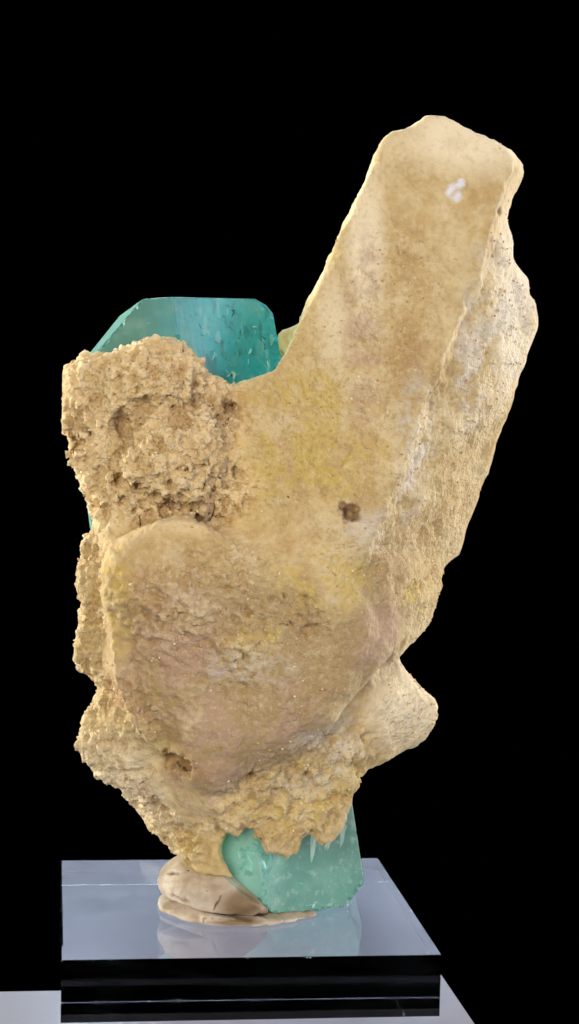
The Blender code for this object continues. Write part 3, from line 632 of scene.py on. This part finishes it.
def makeChips(rng, item, chipped):
    # small broken lumps strung along the edges of a piece, to be cut out of it
    corners = specimenPoints(item)
    chips = []
    for edge in item.data.edges:
        start, end = (Vector(corners[index]) for index in edge.vertices)
        walked, length = rng.uniform(0, 1.2), (end - start).length
        while walked < length:
            place = start.lerp(end, walked / length)
            found = [(size, every) for ball, size, every in chipped if near(np.array([place]), [ball])[0] > 0.5]
            size, every = found[0] if found else (0, 2.0)
            if size:
                bpy.ops.mesh.primitive_ico_sphere_add(subdivisions=2, radius=size * rng.uniform(0.45, 1.15) * mm,
                                                      location=spot(*place))
                chip = bpy.context.object
                chip.scale = (rng.uniform(0.6, 1.6), rng.uniform(0.6, 1.3), rng.uniform(0.5, 1.4))
                chip.rotation_euler = (rng.uniform(0, 3), rng.uniform(0, 3), rng.uniform(0, 3))
                chips.append(chip)
            walked += every * rng.uniform(0.6, 1.5)
    bpy.ops.object.select_all(action="DESELECT")
    for chip in chips:
        chip.select_set(True)
    bpy.context.view_layer.objects.active = chips[0]
    bpy.ops.object.join()
    cutter = bpy.context.object
    bpy.ops.object.transform_apply(location=True, rotation=True, scale=True)
    for vertex in cutter.data.vertices:
        vertex.co += noise.noise_vector(vertex.co / (0.9 * mm)) * 0.2 * mm
    return cutter


def makeCrystal():
    crystal = copyNode("aquamarine_crystal", "aquamarine_prism")
    bpy.ops.object.mode_set(mode="EDIT")
    bpy.ops.mesh.select_all(action="SELECT")
    bpy.ops.mesh.dissolve_limited(angle_limit=math.radians(1))
    bpy.ops.object.mode_set(mode="OBJECT")
    cutter = makeChips(random.Random(11), crystal, aquamarine["chipped"])
    applyModifier(crystal, "BEVEL", width=aquamarine["bevel"] * mm, segments=2, limit_method="ANGLE",
                  angle_limit=math.radians(15), use_clamp_overlap=True)
    applyModifier(crystal, "BOOLEAN", operation="DIFFERENCE", object=cutter, solver="EXACT", use_self=True)
    bpy.data.objects.remove(cutter)
    finishPiece(crystal, "aquamarine_crystal", "aquamarine", makeBerylMaterial())
    selectOnly(crystal)
    bpy.ops.object.shade_smooth_by_angle(angle=math.radians(18))
    print("aquamarine_prism:", len(crystal.data.polygons), "faces")


def crystalFront(x, z):
    # the place on the front of the crystal at this x and z of the specimen, and which way it faces
    return berylFaces.ray_cast(spot(x, -80, z), toWorld @ Vector((0, 1, 0)))[:2]


def meshPiece(name, points, faces, slot, material):
    # a piece made of loose small parts
    sheet = bpy.data.meshes.new(name)
    sheet.from_pydata(points, [], faces)
    item = bpy.data.objects.new(name, sheet)
    scene.collection.objects.link(item)
    finishPiece(item, None, slot, material)
    print(name + ":", len(faces), "faces")
    return item


def makeFlakes():
    # healed cracks and broken flakes that catch the light inside the crystal
    rng = random.Random(23)
    points, faces, tones = [], [], []
    for x, z, reachX, reachZ, count, size, darkest, brightest in aquamarine["flakes"]:
        for _ in range(count):
            angle, away = rng.uniform(0, 2 * math.pi), math.sqrt(rng.random())
            front, facing = crystalFront(x + math.cos(angle) * away * reachX, z + math.sin(angle) * away * reachZ)
            if front is None:
                continue
            middle = front - facing * rng.uniform(*aquamarine["flakeDepth"]) * mm
            turn = (facing.to_track_quat("Z", "Y").to_matrix() @ Matrix.Rotation(rng.uniform(0, 6.28), 3, "Z")
                    @ Matrix.Rotation(rng.uniform(-1.3, 1.3), 3, "X"))
            reach = size * rng.uniform(0.25, 1.0) * mm
            squash = rng.uniform(0.12, 0.4)
            first = len(points)
            corners = rng.randint(5, 8)
            points.append(tuple(middle + turn @ Vector((0, 0, reach * rng.uniform(-0.2, 0.2)))))
            for corner in range(corners):
                around = 2 * math.pi * (corner + rng.uniform(-0.3, 0.3)) / corners
                far = reach * rng.uniform(0.5, 1.0)
                points.append(tuple(middle + turn @ Vector((math.cos(around) * far, math.sin(around) * far * squash, 0))))
            faces += [(first, first + 1 + corner, first + 1 + (corner + 1) % corners) for corner in range(corners)]
            tones += [rng.uniform(darkest, brightest)] * (corners + 1)
    # healed crack: a film of tiny fluid drops; each flake's tone is painted, dark as shade to white as a glint,
    # whichever way it faces
    material, tree, output = newMaterial("healed_cracks")
    tone = addNode(tree, "ShaderNodeAttribute", attribute_name="tone").outputs["Fac"]
    shade = addNode(tree, "ShaderNodeValToRGB", {"Fac": tone},
                    stops=[(0.0, "#0B3F47"), (0.35, "#3F9FA2"), (0.75, "#9CD8D0"), (1.0, "#FFFFFF")]).outputs["Color"]
    shader = addNode(tree, "ShaderNodeBsdfPrincipled", {
        "Base Color": shade, "Roughness": 0.3, "IOR": 1.5, "Specular IOR Level": 0.6})
    tree.links.new(shader.outputs[0], output.inputs["Surface"])
    veils = meshPiece("crystal_veils", points, faces, "aquamarine", material)
    veils.data.attributes.new("tone", "FLOAT", "POINT").data.foreach_set("value", tones)


# Needles: tufts of pale feldspar fibres that hang from the crust over the crystal.
# x and z where a tuft starts and where it ends, how wide it is, and its number of fibres
needles = [((13.1, 23.8), (12.7, 18.7), 1.2, 6), ((15.9, 23.2), (15.4, 20.0), 1.5, 6), ((18.2, 24.2), (17.9, 20.6), 1.1, 5)]


def makeNeedles():
    rng = random.Random(9)
    points, faces = [], []
    for (x, z), (endX, endZ), spread, count in needles:
        for _ in range(count):
            aside = rng.uniform(-0.5, 0.5) * spread
            start, facing = crystalFront(x + aside, z)
            end = crystalFront(endX + aside * 0.3, endZ + rng.uniform(0, 2.0))[0]
            side = (end - start).cross(facing).normalized()
            width = rng.uniform(0.3, 0.6)
            for share, thick in ((0, 1.0), (0.35, 0.85), (0.7, 0.55), (1, 0.12)):
                middle = start.lerp(end, share) + side * noise.noise(Vector((x, aside, share * 3))) * 0.35 * mm
                reach = width * thick * mm / 2
                for corner in range(6):
                    around = corner * math.pi / 3
                    points.append(tuple(middle + side * math.cos(around) * reach
                                        + facing * math.sin(around) * reach * 0.4))
            first = len(points) - 24
            faces += [(first + ring * 6 + corner, first + ring * 6 + (corner + 1) % 6,
                       first + ring * 6 + 6 + (corner + 1) % 6, first + ring * 6 + 6 + corner)
                      for ring in range(3) for corner in range(6)]
            faces += [tuple(range(first + 5, first - 1, -1)), tuple(range(first + 18, first + 24))]
    # fibrous feldspar: silky white
    material, tree, output = newMaterial("silky_feldspar")
    shader = addNode(tree, "ShaderNodeBsdfPrincipled", {
        "Base Color": hexColour("#A9C6B4"), "Roughness": 0.5, "IOR": 1.53, "Specular IOR Level": 0.4})
    tree.links.new(shader.outputs[0], output.inputs["Surface"])
    meshPiece("feldspar_needles", points, faces, "feldspar", material)


def makeBerylMaterial():
    # beryl: glass-like, blue-green by depth, milky where it is etched, with shards under its face painted light and
    # dark, as glints and shade off cracks
    material, tree, output = newMaterial("beryl_aquamarine")
    where = addNode(tree, "ShaderNodeTexCoord").outputs["Object"]
    upright = addNode(tree, "ShaderNodeMapping", {"Vector": where, "Rotation": (0, 0, -specimenTurn)}).outputs[0]
    across = addNode(tree, "ShaderNodeSeparateXYZ", {0: upright})
    clouds = addNode(tree, "ShaderNodeTexNoise", {"Vector": where, "Scale": 1 / (4.5 * mm), "Detail": 5.0})
    mottle = addNode(tree, "ShaderNodeTexNoise", {"Vector": where, "Scale": 1 / (1.7 * mm), "Detail": 6.0,
                                                  "Roughness": 0.62})
    etching = addNode(tree, "ShaderNodeTexNoise", {"Vector": where, "Scale": 1 / (0.6 * mm), "Detail": 3.0})
    slanted = addNode(tree, "ShaderNodeMapping", {"Vector": upright, "Rotation": (0, math.radians(38), 0),
                                                  "Scale": (1, 1, 0.3)}).outputs[0]
    shards = addNode(tree, "ShaderNodeTexVoronoi", {"Vector": slanted, "Scale": 1 / (0.7 * mm)})

    left = addNode(tree, "ShaderNodeMapRange", {0: across.outputs["X"], 1: -4 * mm, 2: -18 * mm}).outputs[0]
    low = addNode(tree, "ShaderNodeMapRange", {0: across.outputs["Z"], 1: 40 * mm, 2: 26 * mm}).outputs[0]
    frost = addNode(tree, "ShaderNodeMath", {0: left, 1: low}, operation="MAXIMUM").outputs[0]
    clear = addNode(tree, "ShaderNodeMath", {0: 1.0, 1: frost}, operation="SUBTRACT").outputs[0]
    shard = addNode(tree, "ShaderNodeSeparateColor", {0: shards.outputs["Color"]})
    shade = hexColour(aquamarine["clear"])
    # a layer: what it follows, the values where it starts and is full, its most, where it lies, its colour
    layers = [
        (clouds.outputs["Fac"], 0.46, 0.66, 0.6, clear, "#4CB6BC"),
        (clouds.outputs["Fac"], 0.46, 0.34, 0.5, clear, "#1D7A82"),
        (mottle.outputs["Fac"], 0.56, 0.68, 0.55, clear, "#7CCBC8"),
        (mottle.outputs["Fac"], 0.44, 0.34, 0.55, clear, "#17646C"),
        # shards painted pale as glints and dark as shade off cracks under the face
        (shard.outputs["Red"], 0.92, 0.96, 0.5, clear, "#A5E0DC"),
        (shard.outputs["Red"], 0.1, 0.05, 0.4, clear, "#10535A"),
        (left, 0.0, 1.0, 1.0, 1, aquamarine["etched"]),
        (low, 0.0, 1.0, 1.0, 1, aquamarine["milky"]),
        (clouds.outputs["Fac"], 0.5, 0.66, 0.5, frost, "#88B8A4"),
        (clouds.outputs["Fac"], 0.46, 0.34, 0.45, frost, "#4E8C84"),
        # milky and lighter towards the left of the foot, and painted light there against the crust's shade
        (across.outputs["X"], 9 * mm, 2 * mm, 0.95, low, "#A9E8D8"),
        (mottle.outputs["Fac"], 0.55, 0.68, 0.7, low, "#B4D2C2"),
        (mottle.outputs["Fac"], 0.45, 0.34, 0.5, low, "#4F9482"),
    ]
    for pattern, start, full, most, zone, code in layers:
        amount = addNode(tree, "ShaderNodeMapRange", {0: pattern, 1: start, 2: full, 3: 0.0, 4: most})
        amount = addNode(tree, "ShaderNodeMath", {0: amount.outputs[0], 1: zone}, operation="MULTIPLY")
        shade = addNode(tree, "ShaderNodeMix", {0: amount.outputs[0], 6: shade, 7: hexColour(code)},
                        data_type="RGBA").outputs[2]
    roughness = addNode(tree, "ShaderNodeMapRange", {0: frost, 3: 0.34, 4: 0.5}).outputs[0]
    ripple = addNode(tree, "ShaderNodeBump", {"Height": mottle.outputs["Fac"], "Strength": 0.4, "Distance": 0.3 * mm})
    pits = addNode(tree, "ShaderNodeBump", {"Height": etching.outputs["Fac"], "Strength": 0.3,
                                            "Distance": 0.12 * mm, "Normal": ripple.outputs[0]})
    glass = addNode(tree, "ShaderNodeBsdfPrincipled", {
        "Base Color": shade, "Roughness": roughness, "IOR": aquamarine["ior"],
        "Transmission Weight": 0.4, "Normal": pits.outputs[0]})
    letThrough(tree, output, glass, "#79BDB8")
    depth = addNode(tree, "ShaderNodeVolumeAbsorption", {
        "Color": hexColour(aquamarine["depthColour"]), "Density": aquamarine["depthDensity"]})
    tree.links.new(depth.outputs[0], output.inputs["Volume"])
    return material


def letThrough(tree, output, glass, code):
    # lamps shine through the clear material, as they do in life, instead of leaving a black shadow
    rays = addNode(tree, "ShaderNodeLightPath")
    clear = addNode(tree, "ShaderNodeBsdfTransparent", {"Color": hexColour(code)})
    mix = addNode(tree, "ShaderNodeMixShader", {0: rays.outputs["Is Shadow Ray"], 1: glass.outputs[0],
                                                2: clear.outputs[0]})
    tree.links.new(mix.outputs[0], output.inputs["Surface"])


# Putty: off-white museum putty, kneaded, rolled and pressed, slightly greasy, with cracks and dust
putty = {
    "voxel": 0.17, "smoothing": 8, "snug": 0.5,
    "lumpCracks": [([(-1.9, -13.8, 15.8), (-2.4, -13.9, 14.4), (-3.5, -13.3, 12.7)], 0.24, -0.6),
                   ([(-12.6, -5.0, 16.6), (-11.1, -6.8, 17.1), (-9.0, -8.6, 17.2), (-6, -9.4, 17.6)], 0.45, -0.5),
                   ([(-12.6, -4.0, 14.2), (-10.0, -10.0, 14.0), (-7.4, -12.4, 13.4)], 0.6, -0.3),
                   ([(2.0, -13.2, 14.4), (4.0, -11.6, 13.0), (5.0, -9.8, 12.2)], 0.35, -0.4)],
    "padCracks": [([(-5.1, -13.8, 12.2), (-5.0, -14.4, 10.3)], 0.3, -0.7),
                  ([(3.3, -12.8, 12.0), (3.3, -13.6, 10.3)], 0.3, -0.7),
                  ([(-5.1, -14.2, 11.6), (-1.0, -14.4, 11.5), (3.3, -13.6, 11.3)], 0.3, -0.3)],
    # painted shadow on it, in soft balls, below the lump and under the crystal
    "dirt": [(1.8, -13.2, 13.8, 4.2, 4, 2.4), (0.5, -14.2, 10.9, 4.0, 3, 0.5)],
    # a thin roll squeezed out under the front of the crystal: x, y, z, half width, half height
    "squeezed": [(3.6, -12.2, 10.6, 1.9, 0.55), (6.0, -11.2, 10.5, 1.8, 0.5), (8.6, -9.6, 10.4, 1.6, 0.42),
                 (10.8, -8.0, 10.4, 1.3, 0.36), (12.6, -6.8, 10.3, 1.0, 0.3)],
}


def shapePutty(piece, cracks, floor):
    # kneaded lumps, thumb marks and cracks; it stays above the floor, which is in mm
    applyModifier(piece, "REMESH", mode="VOXEL", voxel_size=putty["voxel"] * mm)
    applyModifier(piece, "SMOOTH", factor=0.5, iterations=putty["smoothing"])
    for number, (grain, height) in enumerate(((5.0, 0.9), (1.6, 0.3), (0.6, 0.1))):
        pattern = bpy.data.textures.new(f"{piece.name}{number}", "CLOUDS")
        pattern.noise_scale = grain * mm
        pattern.noise_depth = 2
        applyModifier(piece, "DISPLACE", texture=pattern, texture_coords="LOCAL", strength=height * mm, mid_level=0.5)
    places = specimenPoints(piece)
    lift = np.zeros(len(places))
    for line, width, height in cracks:
        lift += nearLine(places, line, width, 0.45) * height
    # the stone is pressed into it, so it closes the CAD's small gap
    points, normals = pointsOf(piece), normalsOf(piece)
    touch = np.array([berylFaces.find_nearest(Vector(point), 3 * mm)[3] or 3 * mm for point in points]) / mm
    lift += np.clip(1.4 - touch, 0, 0.6) / 0.6 * putty["snug"]
    points += normals * (lift * mm)[:, None]
    points[:, 2] = np.maximum(points[:, 2], floor * mm)
    movePoints(piece, points)
    # painted shade where it touches the stone and in the painted shadow balls, and painted shade in its cracks
    dirt = near(specimenPoints(piece), putty["dirt"], 0.9)
    paint(piece, "marks", np.clip(-lift / 0.35, 0, 1), np.maximum(np.clip((2.6 - touch) / 2.6, 0, 1), dirt), 0)
    selectOnly(piece)
    bpy.ops.object.shade_smooth()


def makePuttyPiece(node, name, cracks, material):
    piece = copyNode(node, name)
    shapePutty(piece, cracks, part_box(node)[0].z / mm)
    finishPiece(piece, node, "mounting_putty", material)
    print(name + ":", len(piece.data.polygons), "faces")


def makeSqueezed(material):
    rolls = []
    for x, y, z, wide, high in putty["squeezed"]:
        bpy.ops.mesh.primitive_ico_sphere_add(subdivisions=3, radius=1, location=spot(x, y, z))
        bpy.context.object.scale = (wide * 1.25 * mm, wide * mm, high * mm)
        rolls.append(bpy.context.object)
    bpy.ops.object.select_all(action="DESELECT")
    for roll in rolls:
        roll.select_set(True)
    bpy.context.view_layer.objects.active = rolls[0]
    bpy.ops.object.join()
    bpy.ops.object.transform_apply(location=True, rotation=True, scale=True)
    piece = bpy.context.object
    piece.name = "putty_edge"
    shapePutty(piece, [], 10.05)
    finishPiece(piece, None, "mounting_putty", material)
    print("putty_edge:", len(piece.data.polygons), "faces")


def makePuttyMaterial():
    # museum putty: a soft satin compound of wax and chalk, warm off-white, with painted shade in its cracks and where
    # the stone shades it
    material, tree, output = newMaterial("museum_putty")
    where = addNode(tree, "ShaderNodeTexCoord").outputs["Object"]
    smears = addNode(tree, "ShaderNodeTexNoise", {"Vector": where, "Scale": 1 / (4 * mm), "Detail": 5.0})
    specks = addNode(tree, "ShaderNodeTexVoronoi", {"Vector": where, "Scale": 1 / (3.2 * mm)})
    shade = addNode(tree, "ShaderNodeValToRGB", {"Fac": smears.outputs["Fac"]},
                    stops=[(0.35, "#A8957C"), (0.5, "#BDAD98"), (0.68, "#CDC0AE")]).outputs["Color"]
    marks = addNode(tree, "ShaderNodeSeparateColor", {0: addNode(
        tree, "ShaderNodeAttribute", attribute_name="marks").outputs["Color"]})
    # painted shade near the stone and in the shadow balls, and in the cracks
    for factor, code in ((marks.outputs["Green"], "#80694B"), (marks.outputs["Red"], "#857059")):
        shade = addNode(tree, "ShaderNodeMix", {0: factor, 6: shade, 7: hexColour(code)}, data_type="RGBA").outputs[2]
    dot = addNode(tree, "ShaderNodeMapRange", {0: specks.outputs["Distance"], 1: 0.085, 2: 0.06, 3: 0.0, 4: 0.9})
    shade = addNode(tree, "ShaderNodeMix", {0: dot.outputs[0], 6: shade, 7: hexColour("#1E1610")},
                    data_type="RGBA").outputs[2]
    fine = addNode(tree, "ShaderNodeTexNoise", {"Vector": where, "Scale": 1 / (0.7 * mm), "Detail": 4.0})
    bump = addNode(tree, "ShaderNodeBump", {"Height": fine.outputs["Fac"], "Strength": 0.35, "Distance": 0.15 * mm})
    shader = addNode(tree, "ShaderNodeBsdfPrincipled", {
        "Base Color": shade, "Roughness": 0.55, "IOR": 1.46, "Specular IOR Level": 0.4, "Normal": bump.outputs[0]})
    tree.links.new(shader.outputs[0], output.inputs["Surface"])
    return material


def makeBlock():
    # a sawn and polished slab whose sharp edges have small knocks in them
    low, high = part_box("acrylic_block")
    bpy.ops.mesh.primitive_cube_add(size=1, location=(low + high) / 2)
    slab = bpy.context.object
    slab.name = "acrylic_slab"
    slab.scale = high - low
    bpy.ops.object.transform_apply(location=True, rotation=True, scale=True)
    bpy.ops.object.mode_set(mode="EDIT")
    bpy.ops.mesh.select_all(action="DESELECT")
    bpy.ops.object.mode_set(mode="OBJECT")
    for edge in slab.data.edges:
        edge.select = all(slab.data.vertices[index].co.z > high.z - mm for index in edge.vertices)
    bpy.ops.object.mode_set(mode="EDIT")
    bpy.ops.mesh.select_mode(type="EDGE")
    bpy.ops.mesh.bevel(offset=0.08 * mm, segments=2)
    bpy.ops.object.mode_set(mode="OBJECT")
    cutter = makeChips(random.Random(4), slab, [((0, 0, high.z / mm, 90, 90, 2), 0.13, 8.0)])
    applyModifier(slab, "BOOLEAN", operation="DIFFERENCE", object=cutter, solver="EXACT", use_self=True)
    bpy.data.objects.remove(cutter)
    finishPiece(slab, "acrylic_block", "clear_acrylic", makeAcrylicMaterial())
    print("acrylic_slab:", len(slab.data.polygons), "faces")


def makeAcrylicMaterial():
    # cast acrylic: water-clear with polished faces, faintly blue through its edges
    material, tree, output = newMaterial("cast_acrylic")
    where = addNode(tree, "ShaderNodeTexCoord").outputs["Object"]
    smears = addNode(tree, "ShaderNodeTexNoise", {"Vector": where, "Scale": 1 / (9 * mm), "Detail": 5.0})
    rough = addNode(tree, "ShaderNodeMapRange", {0: smears.outputs["Fac"], 1: 0.4, 2: 0.75, 3: 0.0, 4: 0.07})
    glass = addNode(tree, "ShaderNodeBsdfPrincipled", {
        "Base Color": hexColour("#F4F7FC"), "Roughness": rough.outputs[0], "IOR": 1.49, "Transmission Weight": 1.0})
    letThrough(tree, output, glass, "#EEF2FA")
    depth = addNode(tree, "ShaderNodeVolumeAbsorption", {"Color": hexColour("#D6DCEE"), "Density": 5.0})
    tree.links.new(depth.outputs[0], output.inputs["Volume"])
    return material


# Studio: a pale board under the block, a dark room behind it, and large soft lamps
studio = {
    # name: place, point it looks at, width, height, power in watts, colour
    "lamps": {
        "key": ((-0.24, -0.50, 0.21), (0.0, 0.0, 0.07), 0.24, 0.24, 2.1, "#FFF6E6"),
        "fill": ((0.36, -0.36, 0.16), (0.01, 0.0, 0.07), 0.22, 0.30, 1.5, "#F6F4FF"),
        "overhead": ((0.02, 0.04, 0.50), (0.0, 0.0, 0.06), 0.26, 0.26, 0.56, "#F8F2FC"),
        "rimLeft": ((-0.32, 0.13, 0.13), (0.0, 0.0, 0.11), 0.08, 0.20, 0.17, "#FFFAF0"),
        "rimRight": ((0.34, 0.14, 0.13), (0.01, 0.0, 0.11), 0.08, 0.20, 0.13, "#FFFAF0"),
        "glow": ((-0.05, 0.32, 0.36), (-0.01, 0.0, 0.10), 0.20, 0.20, 0.19, "#E4FBF8"),
        "bounce": ((-0.22, -0.30, 0.03), (-0.015, 0.0, 0.025), 0.20, 0.05, 0.15, "#FFF2DE"),
    },
    "lampSpread": {"rimLeft": 38, "rimRight": 38, "glow": 50},
    # the board's corners; it is cut back on the left, where the room behind it is dark
    "board": [(-0.25, -0.034), (0.0349, -0.034), (0.0340, 0.0318), (-0.0296, 0.0318),
              (-0.0296, -0.0142), (-0.25, -0.0142)],
    "cameraPlace": (-0.03272, -0.32178, 0.10216), "cameraDown": 4.26, "cameraRoll": 1.40, "focalPixels": 1907,
}


def makeStudio():
    sheet = bpy.data.meshes.new("board")
    sheet.from_pydata([(x, y, -0.1 * mm) for x, y in studio["board"]], [], [range(len(studio["board"]))])
    board = bpy.data.objects.new("board", sheet)
    scene.collection.objects.link(board)
    material, tree, output = newMaterial("pale_board")
    shader = addNode(tree, "ShaderNodeBsdfPrincipled", {
        "Base Color": hexColour("#9796A2"), "Roughness": 0.8, "Specular IOR Level": 0.2})
    tree.links.new(shader.outputs[0], output.inputs["Surface"])
    board.data.materials.append(material)
    for name, (place, target, width, height, power, code) in studio["lamps"].items():
        lamp = bpy.data.lights.new(name, "AREA")
        lamp.shape = "RECTANGLE"
        lamp.size, lamp.size_y, lamp.energy, lamp.color = width, height, power, hexColour(code)[:3]
        lamp.spread = math.radians(studio["lampSpread"].get(name, 180))
        holder = bpy.data.objects.new(name, lamp)
        scene.collection.objects.link(holder)
        aim = (Vector(target) - Vector(place)).to_track_quat("-Z", "Y")
        holder.matrix_world = Matrix.Translation(place) @ aim.to_matrix().to_4x4()
        holder.visible_camera = False
    world = bpy.data.worlds.new("dark_room")
    world.use_nodes = True
    world.node_tree.nodes["Background"].inputs["Strength"].default_value = 0
    scene.world = world
    lens = bpy.data.cameras.new("camera")
    lens.sensor_width = 36
    lens.lens = studio["focalPixels"] * lens.sensor_width / 1024
    lens.clip_start = 0.01
    camera = bpy.data.objects.new("camera", lens)
    scene.collection.objects.link(camera)
    camera.matrix_world = (Matrix.Translation(studio["cameraPlace"]) @ Matrix.Rotation(specimenTurn, 4, "Z")
                           @ Matrix.Rotation(math.radians(90 - studio["cameraDown"]), 4, "X")
                           @ Matrix.Rotation(math.radians(studio["cameraRoll"]), 4, "Z"))
    scene.camera = camera
    scene.view_settings.view_transform = "Standard"
    print("studio set")


makeStudio()
makeSkin()
makeCrystal()
makeFlakes()
makeNeedles()
puttyMaterial = makePuttyMaterial()
makePuttyPiece("putty_lump", "putty_roll", putty["lumpCracks"], puttyMaterial)
makePuttyPiece("putty_pad", "putty_base", putty["padCracks"], puttyMaterial)
makeSqueezed(puttyMaterial)
makeBlock()
